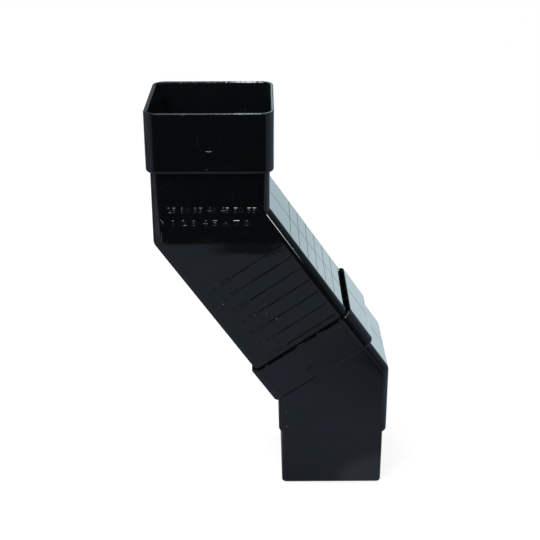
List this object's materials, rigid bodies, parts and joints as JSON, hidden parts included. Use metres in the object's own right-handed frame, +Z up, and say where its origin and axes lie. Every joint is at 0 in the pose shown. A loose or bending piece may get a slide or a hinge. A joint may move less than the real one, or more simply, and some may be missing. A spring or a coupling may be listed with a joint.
{
  "type": "downpipe offset bend",
  "caption": "Adjustable offset bend for a square downpipe: an upper bend with a socket and a long arm with cut lines, pushed into a lower bend with a collar and a spigot.",
  "frame": {"origin": "centre of the top socket's rim, on the axis of the incoming pipe", "axes": "+Z up along the incoming pipe, +X towards the side that the arm leans to"},
  "size_m": [0.137, 0.0694, 0.2345],
  "materials": {
    "black_plastic": "gloss"
  },
  "bodies": {
    "root": {"upper_bend": "black_plastic", "lower_bend": "black_plastic"}
  },
  "joints": []
}
